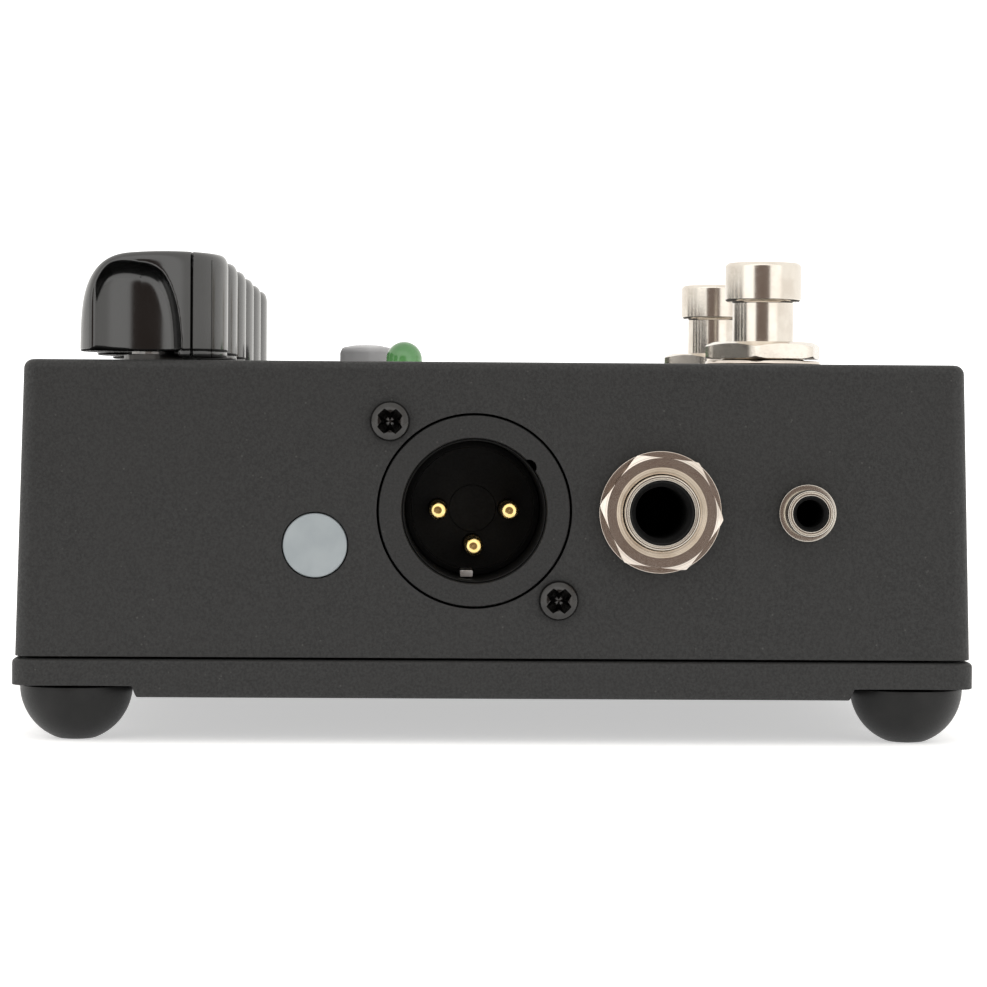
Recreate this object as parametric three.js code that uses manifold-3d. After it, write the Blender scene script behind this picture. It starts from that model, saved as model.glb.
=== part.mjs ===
// Direct injection preamp pedal: a die-cast case with its connectors on the end faces and the
// rear, six rotary controls, two footswitches and two push buttons. Millimetres, +Z up,
// +Y towards the rear, origin at the bottom centre of the whole object.
import * as THREE from "three";
import { mergeVertices } from "three/addons/utils/BufferGeometryUtils.js";
import Module from "manifold-3d";

const wasm = await Module();
wasm.setup();

// Case
const WIDTH = 150; // along X, between the end faces
const DEPTH = 125.4; // along Y, at the open rim
const BODY_HEIGHT = 38.8; // rim to top panel
const WALL = 2.5;
const DRAFT = THREE.MathUtils.degToRad(1.55); // lean of the front and rear walls
const PLAN_CORNER = 2;
const TOP_EDGE = 1.2;
const LID_HEIGHT = 5;
const LID_OVERHANG = 0.4;
const LID_FLOOR = 2.5;
const LID_RIM = 5;
const LID_EDGE = 0.6;
const POST_RADIUS = 4.5;

// Feet in the corners of the bottom plate
const FOOT_RADIUS = 7.45;
const FOOT_HEIGHT = 7.5; // floor to the face that the foot is stuck to
const FOOT_FLAT = 2.7; // radius of the flat that touches the floor
const FOOT_INSET = 7.9; // foot centre to the bottom plate's edges
const POCKET_SIZE = 15.8; // square recess for each foot
const POCKET_DROP = 1.5;

// Countersunk screws that hold the bottom plate
const LID_SCREW_HEAD = 2.75;
const LID_SCREW_HEAD_HEIGHT = 1.7;
const LID_SCREW_SHANK = 1.5;
const LID_SCREW_LENGTH = 16;
const LID_SCREW_ROOM = 1.5; // from the outer potentiometers to the screw posts beside them
const LID_SCREW_SIDE_INSET = 6.6; // screw centre to the case's front and rear rims

// Clearances
const SEAT = 0.3; // between pieces that rest on or pass through each other
const SLIDE = 0.15; // radial, round pieces that move
const PAST = 1; // how far cutters and joined lengths run past the faces they meet

// Quarter-inch jacks and the small headphone jack
const JACK_NOSE = 4.5; // length of each threaded bush outside the case
const JACK_BUSH = 4.9;
const JACK_BORE = 3.35;
const JACK_BODY = 16;
const JACK_DEPTH = 29;
const JACK_BACK = 2;
const JACK_NUT_FLATS = 14.2;
const JACK_NUT_HEIGHT = 2.2;
const JACK_NUT_TURN = 6.4; // degrees
const JACK_WASHER = 8;
const WASHER_HEIGHT = 0.8;
const MINI_BUSH = 3;
const MINI_BORE = 1.8;
const MINI_FLANGE = 3.75;
const MINI_BODY = 11;
const MINI_DEPTH = 14;

// Male XLR socket
const XLR_RADIUS = 12.55;
const XLR_CAVITY = 9.5;
const XLR_CAVITY_DEPTH = 15;
const XLR_INSERT_HEIGHT = 3.5;
const XLR_FLANGE = 31; // square plate behind the wall
const XLR_FLANGE_HEIGHT = 2.5;
const XLR_PIN = 1.2;
const XLR_PIN_SPREAD = 4.7;
const XLR_PIN_SET_BACK = 2;
const XLR_PIN_TIP = 0.8; // length of its rounded end
const XLR_PIN_TAIL = 4;
const XLR_SCREW_SIDE = 11.1; // screw centres from the socket's centre
const XLR_SCREW_RISE = 11.65;
const XLR_SCREW_HEAD = 2.65;
const XLR_SCREW_HEAD_HEIGHT = 1.7;
const XLR_SCREW_SHANK = 1.4;
const XLR_SCREW_LENGTH = 9;
const TAB_WIDTH = 1.7;
const TAB_THICK = 0.9;
const TAB_LENGTH = 9;
const TAB_SHIFT = 0.9; // to the rear of the socket's centre line

// Power socket on the rear
const POWER_BEZEL = 5.6;
const POWER_BEZEL_HEIGHT = 0.3;
const POWER_BODY = 4.9;
const POWER_BORE = 2.75;
const POWER_PIN = 1.05;
const POWER_DEPTH = 13;
const POWER_BACK = 2;
const POWER_PIN_SET_BACK = 1;

// Push buttons and their switches
const BUTTON_RADIUS = 4.2;
const BUTTON_SKIRT = 7; // length of the cap inside the case
const BUTTON_STEM = 1.5;
const BUTTON_STEM_LENGTH = 7;
const BUTTON_TRAVEL = 2.5;
const BUTTON_PLAY = 1; // left between a pressed button and its switch
const GROUND_LIFT_PROUD = 0.3;
const VOICING_PROUD = 4.5;
const VOICING_SKIRT = 3.5;
const SWITCH_SIZE = 8;
const SWITCH_DEPTH = 10;
const SWITCH_BACK = 1; // left behind the stem's well

// Footswitches
const PLUNGER_RADIUS = 4.3;
const PLUNGER_CAP = 5.4;
const PLUNGER_CAP_HEIGHT = 5.5;
const PLUNGER_CAP_EDGE = 0.6;
const PLUNGER_RISE = 9.5; // panel to the underside of the cap
const PLUNGER_TAIL = 12;
const PLUNGER_TRAVEL = 3;
const FOOTSWITCH_BUSH = 6;
const FOOTSWITCH_BODY = 18;
const FOOTSWITCH_DEPTH = 20;
const FOOTSWITCH_NUT_FLATS = 15.4;
const FOOTSWITCH_NUT_TURN = 17; // degrees
const FOOTSWITCH_NUT_HEIGHT = 2.3;
const FOOTSWITCH_WASHER = 8.2;

// Knobs and potentiometers
const KNOB_COUNT = 6;
const KNOB_RADIUS = 9.9;
const KNOB_LOW = 1.3; // panel to the knob's lower rim
const KNOB_HIGH = 14.5;
const KNOB_BORE_DEPTH = 9;
const KNOB_TOP_EDGE = 1.2;
const NOSE_START = 2; // where the flat top begins to fall towards the pointer nose
const NOSE_POWER = 2.35; // a superellipse: 2 would be a plain ellipse
const SCOOP_RADIUS = 7.5; // upright cylinders that cut the finger scoops
const SCOOP_WEB = 8.5; // thickness left between the two scoops
const SCOOP_Y = 3.6;
const SHAFT_RADIUS = 2.9;
const POT_BUSH_WALL = 0.5;
const POT_WIDTH = 10;
const POT_LENGTH = 12;
const POT_HEIGHT = 7;
const POT_TAIL = 4.5;

// Indicators and boards
const LED_RADIUS = 2.55;
const LED_PROUD = 3.5;
const LED_TAIL = 6;
const BOARD = 1.6;
const BOARD_MARGIN = 9; // boards to the case's inner walls
const BOARD_ROOM = 2; // from the boards' cut-outs to the pieces inside them
const CONTROL_BOARD_GAP = 19.6; // its front edge to the line jack's body
const MAIN_BOARD_RISE = 5; // above the lid's top face

// Places on the top panel (X, Y)
const KNOB_PITCH = 24;
const KNOB_REAR = 16.9; // knob centres to the rear rim of the case
const FOOTSWITCH_SPACING = 76;
const FOOTSWITCH_FRONT = 23.9; // footswitch centres to the front rim of the case
const LED_REAR = 50.6; // indicators to the rear rim
const VOICING_X = 23;
const VOICING_REAR = 44.4; // button to the rear rim

// Places on the end faces (from the front rim) and the rear face (X), and their heights (Z)
const SOCKET_Z = 30.6;
const XLR_FRONT = 65.4;
const LINE_OUT_FRONT = 41.1;
const HEADPHONE_FRONT = 21.8;
const GROUND_LIFT_FRONT = 86.2;
const GROUND_LIFT_Z = 26;
const INPUT_FRONT = 41.1;
const POWER_X = 24;

const ROUND = 20; // sides of a round piece
const FINE = 32; // sides of a large round piece

// Levels that follow from the sizes above
const LID_BOTTOM = FOOT_HEIGHT - POCKET_DROP;
const LID_TOP = LID_BOTTOM + LID_HEIGHT;
const RIM = LID_TOP + SEAT;
const PANEL = RIM + BODY_HEIGHT;
const BEHIND = WALL + SEAT; // depth at which pieces behind a wall begin
const POT_REACH = ((KNOB_COUNT - 1) / 2) * KNOB_PITCH; // outer potentiometers from the middle
const SCREW_X = POT_REACH - POT_WIDTH / 2 - LID_SCREW_ROOM - POST_RADIUS;
const SCREW_Y = DEPTH / 2 - LID_SCREW_SIDE_INSET;
const FOOT_X = WIDTH / 2 + LID_OVERHANG - FOOT_INSET;
const FOOT_Y = DEPTH / 2 + LID_OVERHANG - FOOT_INSET;
const KNOB_Y = DEPTH / 2 - KNOB_REAR;
const LED_Y = DEPTH / 2 - LED_REAR;
const VOICING_Y = DEPTH / 2 - VOICING_REAR;
const FOOTSWITCH_Y = FOOTSWITCH_FRONT - DEPTH / 2;
const XLR_Y = XLR_FRONT - DEPTH / 2;
const LINE_OUT_Y = LINE_OUT_FRONT - DEPTH / 2;
const HEADPHONE_Y = HEADPHONE_FRONT - DEPTH / 2;
const GROUND_LIFT_Y = GROUND_LIFT_FRONT - DEPTH / 2;
const INPUT_Y = INPUT_FRONT - DEPTH / 2;
const POT_BUSH = SHAFT_RADIUS + SLIDE + POT_BUSH_WALL;
const SIDES = [-1, 1];
const CORNERS = SIDES.flatMap((x) => SIDES.map((y) => [x, y]));

const FINISH = {
  powder_coat: { color: 0x3c3c3e, roughness: 0.75, metalness: 0 },
  rubber: { color: 0x1d1d1f, roughness: 0.6, metalness: 0 },
  nickel: { color: 0xc9c3bb, roughness: 0.25, metalness: 1 },
  black_steel: { color: 0x2a2a2a, roughness: 0.45, metalness: 1 },
  zinc_steel: { color: 0xb5b5b0, roughness: 0.4, metalness: 1 },
  gold: { color: 0xd8a94a, roughness: 0.25, metalness: 1 },
  black_plastic: { color: 0x161616, roughness: 0.5, metalness: 0 },
  knob_plastic: { color: 0x1c1c1e, roughness: 0.3, metalness: 0 },
  grey_plastic: { color: 0x93a0ad, roughness: 0.45, metalness: 0 },
  green_lens: { color: 0x1f7a34, roughness: 0.2, metalness: 0 },
  board: { color: 0x1e5a3a, roughness: 0.6, metalness: 0 },
};

// ---------------------------------------------------------------- solids

function solid(geometry) {
  const bare = geometry.index ? geometry.toNonIndexed() : geometry.clone();
  bare.deleteAttribute("normal");
  bare.deleteAttribute("uv");
  const merged = mergeVertices(bare, 1e-4);
  return new wasm.Manifold(
    new wasm.Mesh({
      numProp: 3,
      vertProperties: merged.attributes.position.array,
      triVerts: new Uint32Array(merged.index.array),
    }),
  );
}

function join(...geometries) {
  return geometries.map(solid).reduce((all, next) => all.add(next));
}

function cut(shape, ...geometries) {
  return geometries.map(solid).reduce((rest, next) => rest.subtract(next), shape);
}

function mesh(name, shape, finish) {
  const made = (shape.isBufferGeometry ? solid(shape) : shape).getMesh();
  const geometry = new THREE.BufferGeometry();
  geometry.setAttribute("position", new THREE.BufferAttribute(made.vertProperties, 3));
  geometry.setIndex(new THREE.BufferAttribute(made.triVerts, 1));
  const material = new THREE.MeshStandardMaterial({ ...FINISH[finish], flatShading: true });
  const piece = new THREE.Mesh(geometry, material);
  piece.name = name;
  return piece;
}

// Round pieces stand on +Z, from low to high.
function rod(radius, low, high, sides = ROUND) {
  return new THREE.CylinderGeometry(radius, radius, high - low, sides)
    .rotateX(Math.PI / 2)
    .translate(0, 0, (low + high) / 2);
}

function hexagon(flats, low, high) {
  return rod(flats / Math.sqrt(3), low, high, 6);
}

function turned(points, sides = ROUND) {
  const profile = points.map(([radius, height]) => new THREE.Vector2(radius, height));
  return new THREE.LatheGeometry(profile, sides).rotateX(Math.PI / 2);
}

function tube(outer, inner, low, high, sides = ROUND) {
  const profile = [[inner, low], [outer, low], [outer, high], [inner, high], [inner, low]];
  return turned(profile, sides);
}

function block(x, y, low, high) {
  return new THREE.BoxGeometry(x, y, high - low).translate(0, 0, (low + high) / 2);
}

function roundedRectangle(width, depth, corner) {
  const shape = new THREE.Shape();
  const [x, y] = [width / 2 - corner, depth / 2 - corner];
  shape.absarc(x, y, corner, 0, Math.PI / 2);
  shape.absarc(-x, y, corner, Math.PI / 2, Math.PI);
  shape.absarc(-x, -y, corner, Math.PI, 1.5 * Math.PI);
  shape.absarc(x, -y, corner, 1.5 * Math.PI, 2 * Math.PI);
  return shape;
}

// A plate with rounded plan corners, its upper and lower edges rounded by `edge`.
function slab(width, depth, corner, low, high, edge) {
  return new THREE.ExtrudeGeometry(roundedRectangle(width, depth, corner), {
    depth: high - low - 2 * edge,
    bevelThickness: edge,
    bevelSize: edge,
    bevelOffset: -edge,
    bevelSegments: 2,
    curveSegments: 3,
  }).translate(0, 0, low + edge);
}

// How far the front and rear walls have leaned in at a height.
function leanAt(z) {
  return (z - RIM) * Math.tan(DRAFT);
}

// Leans the front and rear sides of an upright shape inwards above the rim.
function drafted(geometry) {
  const position = geometry.getAttribute("position");
  for (let i = 0; i < position.count; i += 1) {
    const y = position.getY(i);
    position.setY(i, y - Math.sign(y) * leanAt(position.getZ(i)));
  }
  return geometry;
}

// ---------------------------------------------------------------- faces

// Each face is a group whose +Z points out of the case, its origin on the outer surface.
function face(x, y, z, turnX, turnY) {
  const group = new THREE.Group();
  group.position.set(x, y, z);
  group.rotation.set(turnX, turnY, 0);
  group.updateMatrixWorld(true);
  return group;
}

const top = face(0, 0, PANEL, 0, 0);
const left = face(-WIDTH / 2, 0, 0, 0, -Math.PI / 2); // its +X is up, its +Y is to the rear
const right = face(WIDTH / 2, 0, 0, 0, Math.PI / 2); // its +X is down, its +Y is to the rear
const rear = face(0, DEPTH / 2 - leanAt(SOCKET_Z), 0, -Math.PI / 2, 0);
const underside = new THREE.Group();
const inside = new THREE.Group();

// Panel holes: every piece that passes through a wall adds its own.
const holes = [];

function drill(where, x, y, radius) {
  const bit = rod(radius, -2 * WALL, 2 * WALL).translate(x, y, 0);
  holes.push(bit.applyMatrix4(where.matrixWorld));
}

function mount(where, x, y, pieces) {
  for (const piece of pieces) {
    piece.position.set(x, y, 0);
    where.add(piece);
  }
}

// ---------------------------------------------------------------- case

function enclosure() {
  const outer = drafted(slab(WIDTH, DEPTH, PLAN_CORNER, RIM - 2 * TOP_EDGE, PANEL, TOP_EDGE));
  const hollow = block(WIDTH - 2 * WALL, DEPTH - 2 * WALL, RIM - PAST, PANEL - WALL);
  const keep = block(2 * WIDTH, 2 * DEPTH, RIM, 2 * PANEL);
  let shell = solid(outer).intersect(solid(keep)).subtract(solid(drafted(hollow)));
  for (const [x, y] of CORNERS) {
    const post = rod(POST_RADIUS, RIM, PANEL - WALL / 2).translate(x * SCREW_X, y * SCREW_Y, 0);
    const reach = DEPTH / 2 - WALL - SCREW_Y;
    const web = block(POST_RADIUS, reach, RIM, PANEL - WALL / 2);
    web.translate(x * SCREW_X, y * (SCREW_Y + reach / 2), 0);
    const pilot = rod(LID_SCREW_SHANK + SEAT, RIM - PAST, RIM + LID_SCREW_LENGTH);
    pilot.translate(x * SCREW_X, y * SCREW_Y, 0);
    shell = cut(shell.add(join(post, web)), pilot);
  }
  return mesh("enclosure", cut(shell, ...holes), "powder_coat");
}

function bottomPlate() {
  const [width, depth] = [WIDTH + 2 * LID_OVERHANG, DEPTH + 2 * LID_OVERHANG];
  const corner = PLAN_CORNER + LID_OVERHANG;
  let plate = solid(slab(width, depth, corner, LID_BOTTOM, LID_TOP, LID_EDGE));
  const floor = LID_BOTTOM + LID_FLOOR;
  const trays = [
    block(width - 2 * LID_RIM, depth - 2 * POCKET_SIZE - 2 * LID_RIM, floor, LID_TOP + PAST),
    block(width - 2 * POCKET_SIZE - 2 * LID_RIM, depth - 2 * LID_RIM, floor, LID_TOP + PAST),
  ];
  plate = cut(plate, ...trays);
  for (const [x, y] of CORNERS) {
    const size = 2 * POCKET_SIZE;
    const pocket = block(size, size, LID_BOTTOM - PAST, FOOT_HEIGHT);
    pocket.translate((x * width) / 2, (y * depth) / 2, 0);
    const boss = rod(POST_RADIUS, LID_BOTTOM + PAST, LID_TOP).translate(x * SCREW_X, y * SCREW_Y, 0);
    const [shank, head] = [LID_SCREW_SHANK + SEAT, LID_SCREW_HEAD + SEAT];
    const hole = countersink(shank, head, LID_BOTTOM - PAST, LID_TOP + PAST);
    plate = cut(plate.add(solid(boss)), pocket, hole.translate(x * SCREW_X, y * SCREW_Y, 0));
  }
  return mesh("bottom_plate", plate, "powder_coat");
}

// A countersunk screw or its hole: the wide end is at the bottom plate's underside.
function countersink(shank, head, low, high) {
  const flush = LID_BOTTOM + 0.1;
  const profile = [
    [0, low],
    [head, low],
    [head, flush],
    [shank, flush + LID_SCREW_HEAD_HEIGHT],
    [shank, high],
    [0, high],
  ];
  return turned(profile);
}

// A dome of rubber, flat where it meets the floor.
function foot(name) {
  const crown = FOOT_HEIGHT - SEAT;
  const first = Math.asin(FOOT_FLAT / FOOT_RADIUS);
  const dome = [];
  for (let i = 0; i <= 5; i += 1) {
    const angle = first + (i / 5) * (Math.PI / 2 - first);
    const drop = Math.cos(angle) / Math.cos(first);
    dome.push([FOOT_RADIUS * Math.sin(angle), crown * (1 - drop)]);
  }
  return mesh(name, turned([[0, 0], ...dome, [0, crown]]), "rubber");
}

function lidScrew(name) {
  const low = LID_BOTTOM;
  const screw = countersink(LID_SCREW_SHANK, LID_SCREW_HEAD, low, low + LID_SCREW_LENGTH);
  return mesh(name, screw, "zinc_steel");
}

function addFeet() {
  for (const [x, y] of CORNERS) {
    const place = (y > 0 ? "rear" : "front") + (x > 0 ? "_right" : "_left");
    mount(underside, x * FOOT_X, y * FOOT_Y, [foot("foot_" + place)]);
    mount(underside, x * SCREW_X, y * SCREW_Y, [lidScrew("lid_screw_" + place)]);
  }
}

// ---------------------------------------------------------------- sockets

function washerAndNut(name, flats, nutHeight, turn, washer, bush) {
  const hole = bush + SEAT;
  const nutLow = 2 * SEAT + WASHER_HEIGHT;
  const nutHigh = nutLow + nutHeight;
  const hexagonal = cut(solid(hexagon(flats, nutLow, nutHigh)), rod(hole, 0, nutHigh + PAST));
  const nut = mesh(name + "_nut", hexagonal, "nickel");
  nut.rotation.z = THREE.MathUtils.degToRad(turn);
  const ring = tube(washer, hole, SEAT, SEAT + WASHER_HEIGHT);
  return [mesh(name + "_washer", ring, "nickel"), nut];
}

function quarterInchJack(name) {
  const body = block(JACK_BODY, JACK_BODY, -BEHIND - JACK_DEPTH, -BEHIND);
  const bush = rod(JACK_BUSH, -BEHIND - PAST, JACK_NOSE);
  const bore = rod(JACK_BORE, -BEHIND - JACK_DEPTH + JACK_BACK, JACK_NOSE + PAST);
  const jack = mesh(name, cut(join(body, bush), bore), "nickel");
  const [flats, height] = [JACK_NUT_FLATS, JACK_NUT_HEIGHT];
  return [jack, ...washerAndNut(name, flats, height, JACK_NUT_TURN, JACK_WASHER, JACK_BUSH)];
}

function headphoneJack() {
  const body = block(MINI_BODY, MINI_BODY, -BEHIND - MINI_DEPTH, -BEHIND);
  const bush = rod(MINI_BUSH, -BEHIND - PAST, JACK_NOSE);
  const flange = rod(MINI_FLANGE, SEAT, SEAT + WASHER_HEIGHT);
  const bore = rod(MINI_BORE, JACK_BACK - BEHIND - MINI_DEPTH, JACK_NOSE + PAST);
  return mesh("headphone_jack", cut(join(body, bush, flange), bore), "nickel");
}

function xlrShell() {
  const tail = -XLR_CAVITY_DEPTH - XLR_INSERT_HEIGHT;
  const plate = block(XLR_FLANGE, XLR_FLANGE, -BEHIND - XLR_FLANGE_HEIGHT, -BEHIND);
  const barrel = rod(XLR_RADIUS, tail, 0, FINE);
  const cavity = rod(XLR_CAVITY, tail - PAST, PAST, FINE);
  const screwHoles = xlrScrewPlaces().map(([x, y]) =>
    rod(XLR_SCREW_SHANK + SEAT, tail, PAST).translate(x, y, 0),
  );
  return mesh("xlr_shell", cut(join(plate, barrel), cavity, ...screwHoles), "powder_coat");
}

function xlrScrewPlaces() {
  return SIDES.map((side) => [side * XLR_SCREW_RISE, side * XLR_SCREW_SIDE]);
}

// Pins 1 and 2 lie level with the socket's centre, pin 3 below it.
function xlrPinPlaces() {
  return [[0, XLR_PIN_SPREAD], [0, -XLR_PIN_SPREAD], [-XLR_PIN_SPREAD, 0]];
}

function xlrInsert() {
  const low = -XLR_CAVITY_DEPTH - XLR_INSERT_HEIGHT;
  const pinHoles = xlrPinPlaces().map(([x, y]) =>
    rod(XLR_PIN + SEAT, low - PAST, 0).translate(x, y, 0),
  );
  const disc = solid(rod(XLR_CAVITY - SEAT, low, -XLR_CAVITY_DEPTH, FINE));
  return mesh("xlr_insert", cut(disc, ...pinHoles), "black_plastic");
}

function xlrPin(name) {
  const low = -XLR_CAVITY_DEPTH - XLR_INSERT_HEIGHT - XLR_PIN_TAIL;
  const tip = -XLR_PIN_SET_BACK;
  const profile = [
    [0, low],
    [XLR_PIN, low],
    [XLR_PIN, tip - XLR_PIN_TIP],
    [0.8 * XLR_PIN, tip - 0.3 * XLR_PIN_TIP],
    [0.4 * XLR_PIN, tip],
    [0, tip],
  ];
  return mesh(name, turned(profile, 16), "gold");
}

function xlrGroundContact() {
  const low = SEAT - XLR_CAVITY_DEPTH;
  const tab = block(TAB_THICK, TAB_WIDTH, low, low + TAB_LENGTH);
  const inset = XLR_CAVITY - 2 * SEAT - TAB_THICK / 2;
  return mesh("xlr_ground_contact", tab.translate(-inset, TAB_SHIFT, 0), "zinc_steel");
}

function xlrScrew(name) {
  const rise = XLR_SCREW_HEAD_HEIGHT;
  const profile = [
    [0, SEAT - XLR_SCREW_LENGTH],
    [XLR_SCREW_SHANK, SEAT - XLR_SCREW_LENGTH],
    [XLR_SCREW_SHANK, SEAT],
    [XLR_SCREW_HEAD, SEAT],
    [XLR_SCREW_HEAD, SEAT + 0.5 * rise],
    [0.6 * XLR_SCREW_HEAD, SEAT + 0.9 * rise],
    [0, SEAT + rise],
  ];
  return mesh(name, turned(profile), "black_steel");
}

function powerJack() {
  const low = -BEHIND - POWER_DEPTH;
  const bezel = rod(POWER_BEZEL, SEAT, SEAT + POWER_BEZEL_HEIGHT);
  const body = rod(POWER_BODY, low, SEAT + POWER_BEZEL_HEIGHT);
  const bore = rod(POWER_BORE, low + POWER_BACK, SEAT + POWER_BEZEL_HEIGHT + PAST);
  const pin = rod(POWER_PIN, low + POWER_BACK / 2, -POWER_PIN_SET_BACK, 12);
  return mesh("power_jack", cut(join(bezel, body), bore).add(solid(pin)), "black_plastic");
}

function addSockets() {
  const level = SOCKET_Z;
  drill(left, level, XLR_Y, XLR_RADIUS + SEAT);
  mount(left, level, XLR_Y, [xlrShell(), xlrInsert(), xlrGroundContact()]);
  xlrPinPlaces().forEach(([x, y], i) => {
    mount(left, level + x, XLR_Y + y, [xlrPin("xlr_pin_" + (i + 1))]);
  });
  xlrScrewPlaces().forEach(([x, y], i) => {
    drill(left, level + x, XLR_Y + y, XLR_SCREW_SHANK + SEAT);
    mount(left, level + x, XLR_Y + y, [xlrScrew("xlr_screw_" + (i + 1))]);
  });
  drill(left, level, LINE_OUT_Y, JACK_BUSH + SEAT);
  mount(left, level, LINE_OUT_Y, quarterInchJack("line_out_jack"));
  drill(left, level, HEADPHONE_Y, MINI_BUSH + SEAT);
  mount(left, level, HEADPHONE_Y, [headphoneJack()]);
  drill(right, -level, INPUT_Y, JACK_BUSH + SEAT);
  mount(right, -level, INPUT_Y, quarterInchJack("input_jack"));
  drill(rear, POWER_X, -level, POWER_BODY + SEAT);
  mount(rear, POWER_X, -level, [powerJack()]);
}

// ---------------------------------------------------------------- buttons and footswitches

function pushButton(name, proud, skirt) {
  const cap = rod(BUTTON_RADIUS, -skirt, proud, FINE);
  const stem = rod(BUTTON_STEM, -skirt - BUTTON_STEM_LENGTH, SEAT - skirt, 12);
  const front = -skirt - BUTTON_TRAVEL - BUTTON_PLAY;
  const body = block(SWITCH_SIZE, SWITCH_SIZE, front - SWITCH_DEPTH, front);
  const well = rod(BUTTON_STEM + SEAT, front - SWITCH_DEPTH + SWITCH_BACK, front + PAST, 12);
  return [
    mesh(name + "_button", join(cap, stem), "grey_plastic"),
    mesh(name + "_switch", cut(solid(body), well), "black_plastic"),
  ];
}

function footswitchBody(name) {
  const low = -BEHIND - FOOTSWITCH_DEPTH;
  const high = 2 * SEAT + WASHER_HEIGHT + FOOTSWITCH_NUT_HEIGHT;
  const body = block(FOOTSWITCH_BODY, FOOTSWITCH_BODY, low, -BEHIND);
  const bush = rod(FOOTSWITCH_BUSH, -BEHIND - PAST, high);
  const floor = -PLUNGER_TAIL - PLUNGER_TRAVEL - BUTTON_PLAY;
  const well = rod(PLUNGER_RADIUS + SLIDE, floor, high + PAST, FINE);
  return mesh(name, cut(join(body, bush), well), "nickel");
}

function plunger(name) {
  const top = PLUNGER_RISE + PLUNGER_CAP_HEIGHT;
  const profile = [
    [0, -PLUNGER_TAIL],
    [PLUNGER_RADIUS, -PLUNGER_TAIL],
    [PLUNGER_RADIUS, PLUNGER_RISE],
    [PLUNGER_CAP, PLUNGER_RISE],
    [PLUNGER_CAP, top - PLUNGER_CAP_EDGE],
    [PLUNGER_CAP - PLUNGER_CAP_EDGE, top],
    [0, top],
  ];
  return mesh(name, turned(profile, FINE), "nickel");
}

function addSwitches() {
  drill(left, GROUND_LIFT_Z, GROUND_LIFT_Y, BUTTON_RADIUS + SLIDE);
  const groundLift = pushButton("ground_lift", GROUND_LIFT_PROUD, BUTTON_SKIRT);
  mount(left, GROUND_LIFT_Z, GROUND_LIFT_Y, groundLift);
  drill(top, VOICING_X, VOICING_Y, BUTTON_RADIUS + SLIDE);
  mount(top, VOICING_X, VOICING_Y, pushButton("voicing", VOICING_PROUD, VOICING_SKIRT));
  ["left", "right"].forEach((side, i) => {
    const x = (SIDES[i] * FOOTSWITCH_SPACING) / 2;
    const name = "footswitch_" + side;
    const nut = [FOOTSWITCH_NUT_FLATS, FOOTSWITCH_NUT_HEIGHT, FOOTSWITCH_NUT_TURN];
    drill(top, x, FOOTSWITCH_Y, FOOTSWITCH_BUSH + SEAT);
    mount(top, x, FOOTSWITCH_Y, [
      footswitchBody(name + "_body"),
      plunger(name + "_plunger"),
      ...washerAndNut(name, ...nut, FOOTSWITCH_WASHER, FOOTSWITCH_BUSH),
    ]);
    drill(top, x, LED_Y, LED_RADIUS + SEAT);
    mount(top, x, LED_Y, [led("led_" + side)]);
  });
}

// ---------------------------------------------------------------- controls

// Side view of the knob: an upright front, a flat top and a rounded pointer nose at the rear.
function knobSide() {
  const rise = KNOB_HIGH - KNOB_LOW;
  const shape = new THREE.Shape();
  shape.moveTo(-KNOB_RADIUS, 0);
  shape.lineTo(-KNOB_RADIUS, rise - KNOB_TOP_EDGE);
  shape.quadraticCurveTo(-KNOB_RADIUS, rise, KNOB_TOP_EDGE - KNOB_RADIUS, rise);
  for (let i = 0; i <= 8; i += 1) {
    const angle = ((8 - i) / 8) * (Math.PI / 2);
    const along = Math.pow(Math.cos(angle), 2 / NOSE_POWER);
    const up = Math.pow(Math.sin(angle), 2 / NOSE_POWER);
    shape.lineTo(NOSE_START + (KNOB_RADIUS - NOSE_START) * along, rise * up);
  }
  shape.closePath();
  return shape;
}

function knob(name) {
  const side = new THREE.ExtrudeGeometry(knobSide(), {
    depth: 3 * KNOB_RADIUS,
    bevelEnabled: false,
    curveSegments: 3,
  });
  side.translate(0, 0, -1.5 * KNOB_RADIUS).rotateX(Math.PI / 2).rotateZ(Math.PI / 2);
  side.translate(0, 0, KNOB_LOW);
  const barrel = rod(KNOB_RADIUS, KNOB_LOW, KNOB_HIGH, FINE);
  const ceiling = KNOB_HIGH - KNOB_TOP_EDGE;
  const offset = SCOOP_RADIUS + SCOOP_WEB / 2;
  const scoops = SIDES.map((x) =>
    rod(SCOOP_RADIUS, 0, ceiling, FINE).translate(x * offset, SCOOP_Y, 0),
  );
  const bore = rod(SHAFT_RADIUS + SEAT, 0, KNOB_LOW + KNOB_BORE_DEPTH);
  return mesh(name, cut(solid(barrel).intersect(solid(side)), ...scoops, bore), "knob_plastic");
}

function potBody(name) {
  const body = block(POT_WIDTH, POT_LENGTH, -BEHIND - POT_HEIGHT, -BEHIND);
  const bush = rod(POT_BUSH, -BEHIND - PAST, KNOB_LOW - SEAT);
  const well = rod(SHAFT_RADIUS + SLIDE, -BEHIND - POT_TAIL - SEAT, KNOB_LOW + PAST);
  return mesh(name, cut(join(body, bush), well), "black_plastic");
}

function potShaft(name) {
  const shaft = rod(SHAFT_RADIUS, -BEHIND - POT_TAIL, KNOB_LOW + KNOB_BORE_DEPTH - SEAT);
  return mesh(name, shaft, "zinc_steel");
}

function led(name) {
  const shoulder = LED_PROUD - LED_RADIUS;
  const dome = [];
  for (let i = 0; i <= 6; i += 1) {
    const angle = (i / 6) * (Math.PI / 2);
    dome.push([LED_RADIUS * Math.cos(angle), shoulder + LED_RADIUS * Math.sin(angle)]);
  }
  return mesh(name, turned([[0, -LED_TAIL], [LED_RADIUS, -LED_TAIL], ...dome]), "green_lens");
}

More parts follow.
